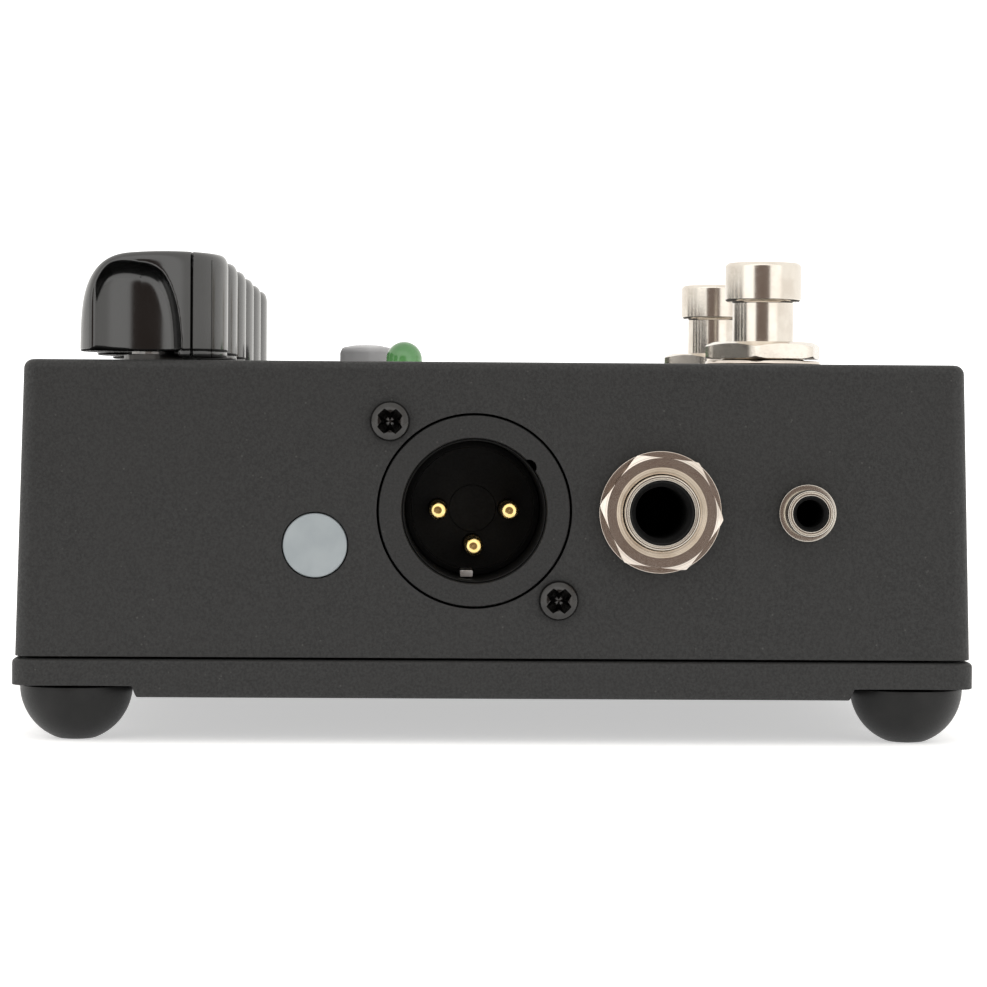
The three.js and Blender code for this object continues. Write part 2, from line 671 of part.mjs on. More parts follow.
function addControls() {
  for (let i = 0; i < KNOB_COUNT; i += 1) {
    const x = i * KNOB_PITCH - POT_REACH;
    const number = i + 1;
    drill(top, x, KNOB_Y, POT_BUSH + SEAT);
    mount(top, x, KNOB_Y, [
      knob("knob_" + number),
      potShaft("pot_shaft_" + number),
      potBody("pot_body_" + number),
    ]);
  }
}

// ---------------------------------------------------------------- boards

function controlBoard() {
  const high = PANEL - BEHIND - POT_HEIGHT - SEAT;
  const length = WIDTH - 2 * WALL - 2 * BOARD_MARGIN;
  const backEdge = SCREW_Y - POST_RADIUS - SEAT;
  const frontEdge = LINE_OUT_Y + JACK_BODY / 2 + CONTROL_BOARD_GAP;
  const plate = block(length, backEdge - frontEdge, high - BOARD, high);
  plate.translate(0, (backEdge + frontEdge) / 2, 0);
  const xlrReach = XLR_CAVITY_DEPTH + XLR_INSERT_HEIGHT + XLR_PIN_TAIL + BOARD_ROOM;
  const xlrRoom = block(2 * xlrReach, XLR_FLANGE + 2 * BOARD_ROOM, 0, PANEL);
  xlrRoom.translate(-WIDTH / 2, XLR_Y, 0);
  const switchSide = SWITCH_SIZE + BOARD_ROOM;
  const switchRoom = block(switchSide, switchSide, 0, PANEL);
  switchRoom.translate(VOICING_X, VOICING_Y, 0);
  return mesh("control_board", cut(solid(plate), xlrRoom, switchRoom), "board");
}

function mainBoard() {
  const low = LID_TOP + MAIN_BOARD_RISE;
  const length = WIDTH - 2 * WALL - 2 * BOARD_MARGIN;
  const depth = 2 * (SCREW_Y - POST_RADIUS - SEAT);
  return mesh("main_board", block(length, depth, low, low + BOARD), "board");
}

// ---------------------------------------------------------------- assembly

addFeet();
addSockets();
addSwitches();
addControls();
inside.add(controlBoard(), mainBoard());

const pedal = new THREE.Group();
pedal.add(enclosure(), bottomPlate(), underside, inside, top, left, right, rear);

export default pedal;
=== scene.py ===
"""Looks of a direct injection preamp pedal: a powder-coated case with sockets on its end faces,
six finger-scoop knobs, two footswitches and two push buttons. Metres, +Z up, +Y to the rear.
Shapes are drawn in millimetres in a frame of their own and set down where the frame says."""

import math

import bmesh
import bpy
import numpy as np
from mathutils import Matrix, Vector


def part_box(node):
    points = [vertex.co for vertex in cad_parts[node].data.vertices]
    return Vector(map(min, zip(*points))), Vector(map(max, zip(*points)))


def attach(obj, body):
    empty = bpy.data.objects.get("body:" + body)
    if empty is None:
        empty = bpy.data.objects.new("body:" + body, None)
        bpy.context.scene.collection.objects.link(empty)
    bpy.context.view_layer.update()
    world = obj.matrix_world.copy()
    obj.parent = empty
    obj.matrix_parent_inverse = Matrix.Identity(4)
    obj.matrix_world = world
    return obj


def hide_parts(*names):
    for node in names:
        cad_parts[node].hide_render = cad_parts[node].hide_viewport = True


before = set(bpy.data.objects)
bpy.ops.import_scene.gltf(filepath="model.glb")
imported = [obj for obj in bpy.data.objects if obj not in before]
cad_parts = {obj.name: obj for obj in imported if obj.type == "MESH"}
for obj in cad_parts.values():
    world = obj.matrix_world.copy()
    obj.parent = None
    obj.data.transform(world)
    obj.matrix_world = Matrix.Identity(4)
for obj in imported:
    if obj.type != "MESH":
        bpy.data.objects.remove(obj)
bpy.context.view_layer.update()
MM = 0.001
WALL = 2.5
PLAN_CORNER = 2.0
TOP_EDGE = 1.2
LEAN = math.tan(math.radians(1.55))  # of the case's front and rear walls
KNOBS = range(1, 7)
CORNERS = [
    (f"{end}_{side}", x, y)
    for end, y in (("front", -1), ("rear", 1))
    for side, x in (("left", -1), ("right", 1))
]


# ---------------------------------------------------------------- finishes: shader arithmetic


class Wire:
    """A shader value. Python's operators on it add the Math or Vector Math node they stand for."""

    def __init__(self, finish, socket):
        self.finish = finish
        self.socket = socket

    def combine(self, operation, left, right):
        vector = any(isinstance(side, tuple) for side in (left, right))
        vector = vector or any(isinstance(s, Wire) and s.socket.type == "VECTOR" for s in (left, right))
        kind = "ShaderNodeVectorMath" if vector else "ShaderNodeMath"
        if vector:
            left, right = [(s, s, s) if isinstance(s, (int, float)) else s for s in (left, right)]
        return self.finish.node(kind, {"operation": operation}, {0: left, 1: right})

    def __add__(self, other):
        return self.combine("ADD", self, other)

    def __radd__(self, other):
        return self.combine("ADD", other, self)

    def __sub__(self, other):
        return self.combine("SUBTRACT", self, other)

    def __rsub__(self, other):
        return self.combine("SUBTRACT", other, self)

    def __mul__(self, other):
        return self.combine("MULTIPLY", self, other)

    def __rmul__(self, other):
        return self.combine("MULTIPLY", other, self)

    def __truediv__(self, other):
        return self.combine("DIVIDE", self, other)

    def __pow__(self, other):
        return self.combine("POWER", self, other)


class Nodes:
    """Adds nodes to a tree, and wires them up."""

    def __init__(self, tree):
        self.tree = tree

    def node(self, kind, settings=None, inputs=None, output=0):
        made = self.tree.nodes.new(kind)
        for name, value in (settings or {}).items():
            setattr(made, name, value)
        for name, value in (inputs or {}).items():
            self.feed(made.inputs[name], value)
        return Wire(self, made.outputs[output])

    def feed(self, socket, value):
        if isinstance(value, Wire):
            self.tree.links.new(value.socket, socket)
        else:
            socket.default_value = value

    def spot(self):
        """The point's own coordinates on its piece, in millimetres."""
        return self.node("ShaderNodeTexCoord", output="Object") * (1 / MM)

    def parts(self, vector):
        made = self.node("ShaderNodeSeparateXYZ", inputs={"Vector": vector}).socket.node
        return [Wire(self, output) for output in made.outputs]

    def grain(self, where, size, detail=2.0, roughness=0.5):
        """Cloudy noise with blotches of about `size` millimetres, 0 to 1 about a middle of 0.5."""
        inputs = {"Vector": where, "Scale": 1 / size, "Detail": detail, "Roughness": roughness}
        return self.node("ShaderNodeTexNoise", inputs=inputs)

    def specks(self, where, spacing):
        """Distance to the nearest of many scattered points, in cells."""
        return self.node("ShaderNodeTexVoronoi", inputs={"Vector": where, "Scale": 1 / spacing})

    def ease(self, value, start, end, low=0.0, high=1.0):
        """Goes smoothly from low to high while value goes from start to end."""
        inputs = {"Value": value, "From Min": start, "From Max": end, "To Min": low, "To Max": high}
        return self.node("ShaderNodeMapRange", {"interpolation_type": "SMOOTHSTEP"}, inputs)

    def shade(self, mask, first, second):
        """first where mask is 0, second where it is 1, for colours."""
        made = self.node("ShaderNodeMix", {"data_type": "RGBA"}).socket.node
        self.feed(made.inputs["Factor"], mask)
        colour_inputs = [socket for socket in made.inputs if socket.type == "RGBA"]
        for socket, value in zip(colour_inputs, (first, second)):
            self.feed(socket, value)
        return Wire(self, [socket for socket in made.outputs if socket.type == "RGBA"][0])

    def bump(self, height, depth, normal=None):
        """Relief from height, 0 to 1, over depth millimetres."""
        inputs = {"Height": height, "Strength": 1.0, "Distance": depth * MM}
        if normal:
            inputs["Normal"] = normal
        return self.node("ShaderNodeBump", inputs=inputs)


class Finish(Nodes):
    """One material: a Principled shader with its constants set on it, and the nodes that feed it.
    Its sockets go by their own names in lower case: base_color, specular_ior_level."""

    def __init__(self, name, **constants):
        self.material = bpy.data.materials.new(name)
        self.material.use_nodes = True
        super().__init__(self.material.node_tree)
        self.shader = self.tree.nodes["Principled BSDF"]
        for words, value in constants.items():
            self.socket(words).default_value = value

    def socket(self, words):
        return self.shader.inputs[words.replace("_", " ").title().replace("Ior", "IOR")]

    def wear(self, **inputs):
        """Feeds what varies over the surface to the shader, and gives back the material."""
        for words, value in inputs.items():
            self.feed(self.socket(words), value)
        return self.material


def grey(level, warmth=0.0):
    """A linear colour; warmth lifts red and drops blue by that share."""
    return (level * (1 + warmth), level, level * (1 - warmth), 1.0)


# ---------------------------------------------------------------- finishes: the pedal's own


def powder_coat(name, level):
    """Fine sandy charcoal powder coat, with pale grains here and there."""
    finish = Finish(name, specular_ior_level=0.4)
    where = finish.spot()
    sand = finish.grain(where, 0.34, detail=3.0, roughness=0.65)
    clouds = finish.grain(where, 9.0, detail=2.0)
    grains = finish.ease(finish.specks(where, 1.15), 0.16, 0.05)
    grains = grains * finish.ease(finish.grain(where, 2.6), 0.52, 0.62)
    base = finish.shade(finish.ease(sand, 0.3, 0.7), grey(level * 0.55), grey(level * 1.5))
    base = finish.shade(finish.ease(clouds, 0.3, 0.7, 0.0, 0.25), base, grey(level * 1.25, 0.02))
    colour = finish.shade(grains * 0.55, base, grey(level * 5.0, 0.05))
    relief = finish.bump(sand, 0.055)
    relief = finish.bump(finish.grain(where, 1.3, detail=1.0), 0.05, relief)
    roughness = finish.ease(sand, 0.25, 0.75, 0.62, 0.46)
    return finish.wear(base_color=colour, roughness=roughness, normal=relief)


def rubber():
    """Moulded black rubber with a faint bloom and a satin skin."""
    finish = Finish("rubber", specular_ior_level=0.3)
    where = finish.spot()
    bloom = finish.ease(finish.grain(where, 3.5, detail=3.0), 0.35, 0.7)
    skin = finish.grain(where, 0.22, detail=2.0)
    colour = finish.shade(bloom, grey(0.0038), grey(0.0068, 0.03))
    return finish.wear(
        base_color=colour,
        roughness=finish.ease(skin, 0.2, 0.8, 0.38, 0.5),
        normal=finish.bump(skin, 0.012),
    )


def turned_metal(name, colour, tint, roughness, groove, pitch=0.16):
    """Plated metal with the fine rings that a lathe tool leaves about the piece's own axis."""
    finish = Finish(name, metallic=1.0)
    where = finish.spot()
    across, along, up = finish.parts(where)
    radius = (across * across + along * along) ** 0.5
    swirl = {"noise_dimensions": "2D"}
    polar = finish.node("ShaderNodeCombineXYZ", inputs={0: radius, 1: up * 0.8})
    rings = finish.node("ShaderNodeTexNoise", swirl, {"Vector": polar, "Scale": 1 / pitch, "Detail": 3.0})
    stain = finish.ease(finish.grain(where, 2.4, detail=3.0), 0.35, 0.75)
    shade = finish.shade(stain * 0.6, colour, tint)
    shade = finish.shade(finish.ease(rings, 0.4, 0.7, 0.0, 0.4), shade, grey(0.28, 0.12))
    return finish.wear(
        base_color=shade,
        roughness=finish.ease(rings, 0.3, 0.7, roughness * 0.75, roughness * 1.3),
        normal=finish.bump(rings, groove),
    )


def polished_nickel():
    """Bright nickel, polished along the piece, with faint hazing."""
    finish = Finish("polished_nickel", metallic=1.0)
    where = finish.spot()
    across, along, up = finish.parts(where)
    stretched = finish.node("ShaderNodeCombineXYZ", inputs={0: across, 1: along, 2: up * 6.0})
    lines = finish.grain(stretched, 0.5, detail=3.0)
    haze = finish.ease(finish.grain(where, 3.0, detail=2.0), 0.35, 0.7)
    colour = finish.shade(haze, (0.74, 0.69, 0.62, 1.0), (0.66, 0.60, 0.53, 1.0))
    return finish.wear(
        base_color=colour,
        roughness=finish.ease(lines, 0.3, 0.7, 0.14, 0.22),
        normal=finish.bump(lines, 0.0012),
    )


def plated_steel(name="zinc_plate", level=0.5, roughness=0.34):
    """Dull plated steel with cloudy passivation."""
    finish = Finish(name, metallic=1.0)
    where = finish.spot()
    clouds = finish.grain(where, 1.1, detail=3.0)
    fine = finish.grain(where, 0.15, detail=2.0)
    colour = finish.shade(finish.ease(clouds, 0.3, 0.7), grey(level * 0.85, 0.04), grey(level, 0.01))
    return finish.wear(
        base_color=colour,
        roughness=finish.ease(clouds, 0.3, 0.7, roughness * 0.85, roughness * 1.2),
        normal=finish.bump(fine, 0.008),
    )


def gold_plate():
    """Thin gold over nickel on the contact pins."""
    finish = Finish("gold_plate", metallic=1.0)
    where = finish.spot()
    wipe = finish.ease(finish.grain(where, 0.7, detail=2.0), 0.35, 0.7)
    colour = finish.shade(wipe, (0.93, 0.66, 0.24, 1.0), (0.96, 0.74, 0.36, 1.0))
    fine = finish.grain(where, 0.12)
    return finish.wear(
        base_color=colour,
        roughness=finish.ease(wipe, 0.0, 1.0, 0.16, 0.28),
        normal=finish.bump(fine, 0.003),
    )


def moulded_plastic(name, light, dark, roughness, skin_depth=0.006, shine=0.5):
    """Injection-moulded plastic with a faint flow pattern and a fine skin."""
    finish = Finish(name, specular_ior_level=shine)
    where = finish.spot()
    flow = finish.ease(finish.grain(where, 4.0, detail=2.0), 0.3, 0.7)
    skin = finish.grain(where, 0.3, detail=3.0)
    return finish.wear(
        base_color=finish.shade(flow, dark, light),
        roughness=finish.ease(skin, 0.25, 0.75, roughness * 0.85, roughness * 1.2),
        normal=finish.bump(skin, skin_depth),
    )


def green_lens(base, height):
    """Tinted epoxy lamp, with painted light: pale low in the dome where light gathers, deep green at its
    crown.
    """
    finish = Finish("green_lens", specular_ior_level=0.6, coat_weight=0.4, coat_roughness=0.06)
    up = finish.parts(finish.spot())[2]
    rise = finish.ease(up, base, base + height)
    # painted light: pale green low in the dome, deep green at the crown
    body = finish.shade(rise, (0.16, 0.46, 0.15, 1.0), (0.035, 0.16, 0.035, 1.0))
    cloud = finish.ease(finish.grain(finish.spot(), 1.2, detail=2.0), 0.3, 0.7, 0.0, 0.25)
    colour = finish.shade(cloud, body, (0.10, 0.30, 0.09, 1.0))
    return finish.wear(base_color=colour, roughness=finish.ease(cloud, 0.0, 0.25, 0.1, 0.18))


def circuit_board():
    """Solder mask over copper tracks."""
    finish = Finish("circuit_board", specular_ior_level=0.5)
    where = finish.spot()
    tracks = finish.node("ShaderNodeTexBrick", inputs={"Vector": where, "Scale": 0.25, "Mortar Size": 0.03})
    mask = finish.ease(Wire(finish, tracks.socket.node.outputs["Fac"]), 0.4, 0.6)
    colour = finish.shade(mask, (0.010, 0.085, 0.040, 1.0), (0.02, 0.15, 0.07, 1.0))
    return finish.wear(base_color=colour, roughness=finish.ease(mask, 0.0, 1.0, 0.35, 0.5))


COAT = powder_coat("powder_coat", level=0.0134)
SOCKET_COAT = powder_coat("socket_coat", level=0.0115)
RUBBER = rubber()
TURNED_NICKEL = turned_metal(
    "turned_nickel", (0.74, 0.67, 0.60, 1.0), (0.62, 0.53, 0.45, 1.0), roughness=0.16, groove=0.007
)
BUSH_NICKEL = turned_metal(
    "bush_nickel", (0.74, 0.70, 0.63, 1.0), (0.62, 0.57, 0.50, 1.0), roughness=0.15, groove=0.002
)
POLISHED_NICKEL = polished_nickel()
ZINC = plated_steel()
GUNMETAL = plated_steel("gunmetal", level=0.06, roughness=0.2)
BUSH_STEEL = plated_steel("bush_steel", level=0.09, roughness=0.36)
GOLD = gold_plate()
BLACK_PLASTIC = moulded_plastic("black_plastic", grey(0.012), grey(0.007), 0.42)
# black plastic made darker than BLACK_PLASTIC: painted shade for the socket cavities, on their liners,
# sleeve and contact block
CAVITY_SHADE_PLASTIC = moulded_plastic("cavity_shade_plastic", grey(0.007), grey(0.004), 0.6, shine=0.2)
KNOB_PLASTIC = moulded_plastic(
    "knob_plastic", grey(0.006), grey(0.003), 0.15, skin_depth=0.0015, shine=0.95
)
BUTTON_PLASTIC = moulded_plastic(
    "button_plastic", (0.30, 0.33, 0.345, 1.0), (0.265, 0.295, 0.31, 1.0), 0.5
)
CAP_PLASTIC = moulded_plastic(
    "cap_plastic", (0.44, 0.44, 0.45, 1.0), (0.37, 0.37, 0.38, 1.0), 0.4
)
BOARD = circuit_board()


# ---------------------------------------------------------------- shapes


def softened(corners, steps=5):
    """Points of an open outline. Each corner is (x, y) or (x, y, radius), and a radius rounds it."""
    points = []
    for i, corner in enumerate(corners):
        here = Vector(corner[:2])
        radius = corner[2] if len(corner) > 2 else 0.0
        if radius <= 0 or i in (0, len(corners) - 1):
            points.append(here)
            continue
        before = (Vector(corners[i - 1][:2]) - here).normalized()
        after = (Vector(corners[i + 1][:2]) - here).normalized()
        half = before.angle(after) / 2
        centre = here + (before + after).normalized() * (radius / math.sin(half))
        start = here + before * (radius / math.tan(half)) - centre
        turn = math.pi - 2 * half
        if before.x * after.y - before.y * after.x > 0:
            turn = -turn
        for step in range(steps + 1):
            points.append(centre + Matrix.Rotation(turn * step / steps, 2) @ start)
    return points


def skin(rings, closed=False):
    """A mesh through rings of points. A ring of one point is a pole; an open end is capped flat."""
    bm = bmesh.new()
    loops = [[bm.verts.new(point) for point in ring] for ring in rings]
    pairs = list(zip(loops, loops[1:]))
    if closed:
        pairs.append((loops[-1], loops[0]))
    for lower, upper in pairs:
        count = max(len(lower), len(upper))
        for i in range(count):
            j = (i + 1) % count
            corners = [lower[i % len(lower)], lower[j % len(lower)]]
            corners += [upper[j % len(upper)], upper[i % len(upper)]]
            bm.faces.new(list(dict.fromkeys(corners)))
    if not closed:
        for loop, turn in ((loops[0], -1), (loops[-1], 1)):
            if len(loop) > 2:
                bm.faces.new(loop[::turn])
    bmesh.ops.recalc_face_normals(bm, faces=bm.faces)
    return bm


def circle(radius, height, sides):
    if radius < 1e-6:
        return [Vector((0, 0, height))]
    angles = [2 * math.pi * i / sides for i in range(sides)]
    return [Vector((radius * math.cos(a), radius * math.sin(a), height)) for a in angles]


def turned(corners, sides=96, closed=False):
    """A shape turned about +Z from (radius, height) or (radius, height, rounding) corners."""
    return skin([circle(p.x, p.y, sides) for p in softened(corners)], closed)


def rounded_rectangle(width, depth, radius, steps=8):
    points = []
    for quarter, (x, y) in enumerate(((1, 1), (-1, 1), (-1, -1), (1, -1))):
        centre = Vector((x * (width / 2 - radius), y * (depth / 2 - radius)))
        for i in range(steps + 1):
            angle = (quarter + i / steps) * math.pi / 2
            points.append(centre + radius * Vector((math.cos(angle), math.sin(angle))))
    return points


def raised(outline, height):
    return [Vector((point[0], point[1], height)) for point in outline]


def joined(*shapes):
    """One mesh that holds all the shapes."""
    whole = shapes[0]
    for shape in shapes[1:]:
        spare = bpy.data.meshes.new("spare")
        shape.to_mesh(spare)
        shape.free()
        whole.from_mesh(spare)
        bpy.data.meshes.remove(spare)
    return whole


def moved(shape, place):
    shape.transform(place if isinstance(place, Matrix) else Matrix.Translation(place))
    return shape


def hexagonal(flats, low, high, bore, upper_cone, lower_cone, turn=0.0, mouth=0.18):
    """A hexagon nut with a bore. A cone turns off its corners at each end: (radius, slope)."""
    count = 72
    point_cut = 0.12  # taken off the six points
    edge = 0.15
    angles = [2 * math.pi * i / count for i in range(count)]
    middle_height = (low + high) / 2

    def ring(reach, height):
        """Points at a radius, or on the six sides if there is none."""
        start, slope = upper_cone if height > middle_height else lower_cone
        made = []
        for angle in angles:
            off = (angle + math.pi / 6) % (math.pi / 3) - math.pi / 6
            side = min(flats / 2 / math.cos(off), flats / math.sqrt(3) - point_cut)
            radius = side if reach is None else min(reach, side)
            drop = max(0.0, radius - start) * slope
            z = height - drop if height > middle_height else height + drop
            facing = angle + math.radians(turn) + math.pi / 6
            made.append(Vector((radius * math.cos(facing), radius * math.sin(facing), z)))
        return made

    upper_flat = max(bore + mouth + edge, upper_cone[0])
    lower_flat = max(bore + 2 * edge, lower_cone[0])
    rings = [ring(bore, low + edge), ring(bore, high - 0.7 * mouth), ring(bore + mouth, high)]
    rings += [ring(upper_flat, high), ring(None, high)]
    rings += [ring(None, low), ring(lower_flat, low), ring(bore + edge, low)]
    return skin(rings, closed=True)


def cross(width, span, depth):
    """The solid that a cross-head driver's tip would fill, from the surface down."""
    arm, crook = width / 2, 0.6 * width
    corners = []
    for quarter in range(4):
        spin = Matrix.Rotation(quarter * math.pi / 2, 2)
        corners += [spin @ Vector(p) for p in ((span / 2, -arm), (span / 2, arm), (crook, crook))]
    rings = []
    for share, z in ((1.12, 0.4), (1.0, 0.0), (0.5, -depth * 0.8), (0.12, -depth)):
        rings.append(raised([p * share for p in corners], z))
    return skin(rings)


# ---------------------------------------------------------------- setting pieces down

SOFTENED_FROM = 42  # degrees, from which an edge is rounded


def seen_from(origin, right, up):
    """A place on a face of the case: +X to the right and +Y up as seen from outside, +Z outwards."""
    right, up = Vector(right), Vector(up)
    place = Matrix((right, up, right.cross(up))).transposed().to_4x4()
    place.translation = origin
    return place


def middle(node):
    low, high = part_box(node)
    return (low + high) / 2


def on_left(node):
    centre = middle(node)
    return seen_from((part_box("enclosure")[0].x, centre.y, centre.z), (0, -1, 0), (0, 0, 1))


def on_right(node):
    centre = middle(node)
    return seen_from((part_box("enclosure")[1].x, centre.y, centre.z), (0, 1, 0), (0, 0, 1))


def on_rear(node):
    centre = middle(node)
    low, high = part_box("enclosure")
    wall = high.y - (centre.z - low.z) * LEAN
    return seen_from((centre.x, wall, centre.z), (-1, 0, 0), (0, 0, 1))


def on_top(node):
    centre = middle(node)
    return Matrix.Translation((centre.x, centre.y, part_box("enclosure")[1].z))


def mesh_of(name, shape):
    """The shape, drawn in millimetres, as a mesh in metres."""
    mesh = bpy.data.meshes.new(name)
    shape.transform(Matrix.Scale(MM, 4))
    shape.to_mesh(mesh)
    shape.free()
    return mesh


def made(
    name,
    shape,
    finish,
    place,
    slot,
    stands_for=(),
    body="root",
    crease=32,  # degrees, from which an edge is sharp
    cuts=(),
    soften=0.0,
):
    """Sets a shape down as a piece: cut, its edges softened, shaded, painted and riding on its body."""
    mesh = mesh_of(name, shape) if isinstance(shape, bmesh.types.BMesh) else shape
    piece = bpy.data.objects.new(name, mesh)
    bpy.context.scene.collection.objects.link(piece)
    if not mesh.materials:
        mesh.materials.append(finish)
    for cut in cuts:
        carve(piece, cut)
    if soften:
        bevel = piece.modifiers.new("edges", "BEVEL")
        bevel.width = soften * MM
        bevel.segments = 2
        bevel.limit_method = "ANGLE"
        bevel.angle_limit = math.radians(SOFTENED_FROM)
        bevel.harden_normals = False
        settle(piece)
    if crease:
        piece.data.shade_smooth()
        piece.data.set_sharp_from_angle(angle=math.radians(crease))
        weigh = piece.modifiers.new("flats", "WEIGHTED_NORMAL")
        weigh.keep_sharp = True
        weigh.weight = 60
        settle(piece)
    piece.matrix_world = place
    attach(piece, body)
    if stands_for:
        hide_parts(*stands_for)


def settle(piece):
    """Makes the piece's modifiers part of its mesh."""
    graph = bpy.context.evaluated_depsgraph_get()
    mesh = bpy.data.meshes.new_from_object(piece.evaluated_get(graph))
    piece.modifiers.clear()
    old = piece.data
    piece.data = mesh
    bpy.data.meshes.remove(old)
    mesh.name = piece.name


def carve(piece, cut):
    """Takes the cutting shape out of the piece."""
    blade = bpy.data.objects.new("blade", mesh_of("blade", cut))
    bpy.context.scene.collection.objects.link(blade)
    difference = piece.modifiers.new("cut", "BOOLEAN")
    difference.operation = "DIFFERENCE"
    difference.solver = "EXACT"
    difference.object = blade
    settle(piece)
    blade_mesh = blade.data
    bpy.data.objects.remove(blade)
    bpy.data.meshes.remove(blade_mesh)


# ---------------------------------------------------------------- case

HOLE_ROOM = 0.2  # between a bush or a screw and the edge of its hole
BUTTON_ROOM = 0.15
LENS_ROOM = 0.1
XLR_HOLE = 12.8
XLR_SCREW = 1.4
JACK_BUSH = 4.9
HEADPHONE_HOLE = 3.2
POWER_BARREL = 4.9
FOOTSWITCH_BUSH = 6.0
CONTROL_BUSH = 3.55
CONTROL_HOLE = 3.8

def hole(place, radius):
    """A drill through the wall at a place on a face, in the case's own frame."""
    reach = 2 * WALL
    bit = turned([(0, -reach), (radius, -reach), (radius, reach), (0, reach)])
    local = place.copy()
    local.translation = place.translation / MM
    return moved(bit, local)


def radius_of(node, axis=2):
    """Half of a round node's width across, in millimetres."""
    low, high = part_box(node)
    return (high - low)[axis] / 2 / MM


def case():
    low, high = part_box("enclosure")
    rim, panel = low.z / MM, high.z / MM
    width = (high.x - low.x) / MM
    depth = (high.y - low.y) / MM
    inner_corner = PLAN_CORNER - 0.5

    def level(height, inset, corner):
        """The outline at a height, leaning in at the front and the rear."""
        shrink = (height - rim) * LEAN
        size = (width - 2 * inset, depth - 2 * inset - 2 * shrink)
        return raised(rounded_rectangle(*size, max(corner, 0.3)), height)

    rings = [level(panel - WALL, WALL, inner_corner), level(rim, WALL, inner_corner)]
    rings.append(level(rim, 0, PLAN_CORNER))
    rings += [level(rim + (panel - TOP_EDGE - rim) * i / 3, 0, PLAN_CORNER) for i in (1, 2)]
    for i in range(7):
        angle = i / 6 * math.pi / 2
        inset = TOP_EDGE * (1 - math.cos(angle))
        height = panel - TOP_EDGE * (1 - math.sin(angle))
        rings.append(level(height, inset, PLAN_CORNER - inset * 0.8))
    bits = [
        hole(on_left("xlr_insert"), XLR_HOLE),
        hole(on_left("xlr_screw_1"), XLR_SCREW + HOLE_ROOM),
        hole(on_left("xlr_screw_2"), XLR_SCREW + HOLE_ROOM),
        hole(on_left("ground_lift_button"), radius_of("ground_lift_button") + BUTTON_ROOM),
        hole(on_left("line_out_jack"), JACK_BUSH + HOLE_ROOM),
        hole(on_left("headphone_jack"), HEADPHONE_HOLE),
        hole(on_right("input_jack"), JACK_BUSH + HOLE_ROOM),
        hole(on_rear("power_jack"), POWER_BARREL + HOLE_ROOM),
        hole(on_top("voicing_button"), radius_of("voicing_button", 0) + BUTTON_ROOM),
    ]
    for side in ("left", "right"):
        bits.append(hole(on_top(f"footswitch_{side}_washer"), FOOTSWITCH_BUSH + HOLE_ROOM))
        bits.append(hole(on_top(f"led_{side}"), radius_of(f"led_{side}", 0) + LENS_ROOM))
    bits += [hole(on_top(f"pot_shaft_{i}"), CONTROL_HOLE) for i in KNOBS]
    made(
        "case",
        skin(rings),
        COAT,
        Matrix(),
        "powder_coat",
        ["enclosure"],
        cuts=[joined(*bits)],
        soften=0.22,
    )


def bottom_cover():
    """The plate that closes the case: a raised middle, and a sloping recess for each foot."""
    low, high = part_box("bottom_plate")
    size = ((high.x - low.x) / MM, (high.y - low.y) / MM)
    bottom, top = low.z / MM, high.z / MM
    edge, corner = 0.6, 2.4
    rings = []
    for height, sign in ((bottom + edge, -1), (top - edge, 1)):
        for i in range(5):
            angle = i / 4 * math.pi / 2
            if sign < 0:
                angle = math.pi / 2 - angle
            inset = edge * (1 - math.cos(angle))
            outline = rounded_rectangle(size[0] - 2 * inset, size[1] - 2 * inset, corner - inset * 0.8)
            rings.append(raised(outline, height + sign * edge * math.sin(angle)))
    cuts = []
    drop, pocket, slant = 1.5, 15.8, 0.6
    deep, shallow = 2 * pocket, 2 * (pocket + slant)
    wide = shallow + 1.5 * slant
    for _, x, y in CORNERS:
        recess = [
            raised(rounded_rectangle(wide, wide, 3.0), bottom - drop),
            raised(rounded_rectangle(shallow, shallow, 2.6), bottom),
            raised(rounded_rectangle(deep, deep, 2.2), bottom + drop),
        ]
        cuts.append(moved(skin(recess), (x * size[0] / 2, y * size[1] / 2, 0)))
    for name, _, _ in CORNERS:
        centre = middle("lid_screw_" + name) / MM
        countersink = turned([(0, -2), (3.15, -2), (3.15, 0.15), (1.8, 1.9), (1.8, 8), (0, 8)])
        cuts.append(moved(countersink, (centre.x, centre.y, bottom)))
    made(
        "bottom_cover",
        skin(rings),
        COAT,
        Matrix(),
        "powder_coat",
        ["bottom_plate"],
        cuts=[joined(*cuts)],
        soften=0.3,
    )


def feet_and_cover_screws():
    dome_radius = radius_of("foot_front_left", 0)
    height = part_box("foot_front_left")[1].z / MM
    flat = 2.2
    first = math.asin(flat / dome_radius)
    arc = []
    for i in range(19):
        angle = first + (i / 18) * (math.pi / 2 - first)
        arc.append((dome_radius * math.sin(angle), height * (1 - math.cos(angle) / math.cos(first))))
    profile = [(0, 0), (flat - 0.4, 0), (flat + 0.1, 0.06), *arc[1:-1]]
    profile += [(dome_radius, height, 0.1), (0, height)]
    for name, x, _ in CORNERS:
        centre = middle("foot_" + name)
        place = Matrix.Translation((centre.x, centre.y, 0))
        made("rubber_foot_" + name, turned(profile), RUBBER, place, "rubber", ["foot_" + name])
        screw = middle("lid_screw_" + name)
        place = seen_from((screw.x, screw.y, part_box("lid_screw_" + name)[0].z), (1, 0, 0), (0, -1, 0))
        head = [(0, -16), (1.5, -16), (1.5, -1.9), (2.75, -0.25, 0.08), (2.6, 0, 0.12), (0, 0)]
        made(
            "cover_screw_" + name,
            turned(head, 64),
            ZINC,
            place,
            "plated_steel",
            ["lid_screw_" + name],
            cuts=[moved(cross(0.85, 3.0, 1.6), Matrix.Rotation(0.5 + x, 4, "Z"))],
        )


# ---------------------------------------------------------------- sockets


